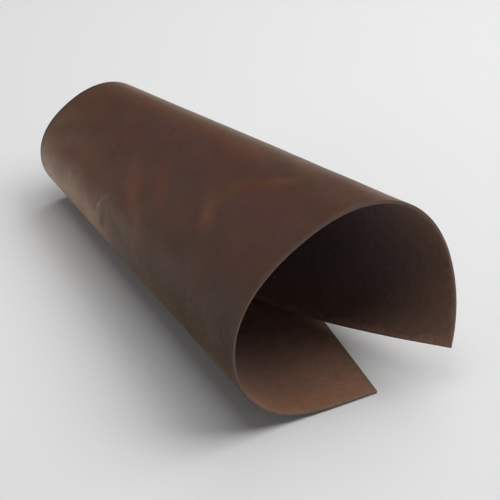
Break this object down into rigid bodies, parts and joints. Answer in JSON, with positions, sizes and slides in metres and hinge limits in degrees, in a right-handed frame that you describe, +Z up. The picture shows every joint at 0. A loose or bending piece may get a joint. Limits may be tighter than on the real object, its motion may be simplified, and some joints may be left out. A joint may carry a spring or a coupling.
{
  "type": "leather hide",
  "caption": "Rectangular sheet of brown waxed leather hide, curled into a loose cone-shaped roll that rests on its flat lower strip.",
  "frame": {"origin": "centre of the underside of the roll's box, on the surface that it lies on", "axes": "+Z up, -Y out of the roll's wide open mouth, +X towards the sheet's flat lower edge, so the roll narrows towards +Y"},
  "size_m": [0.1109, 0.242, 0.099],
  "materials": {
    "leather": "dark brown waxed pull-up grain outside, napped lighter brown flesh inside, raw cut edge"
  },
  "bodies": {
    "root": {"leather_sheet": "leather"}
  },
  "joints": []
}
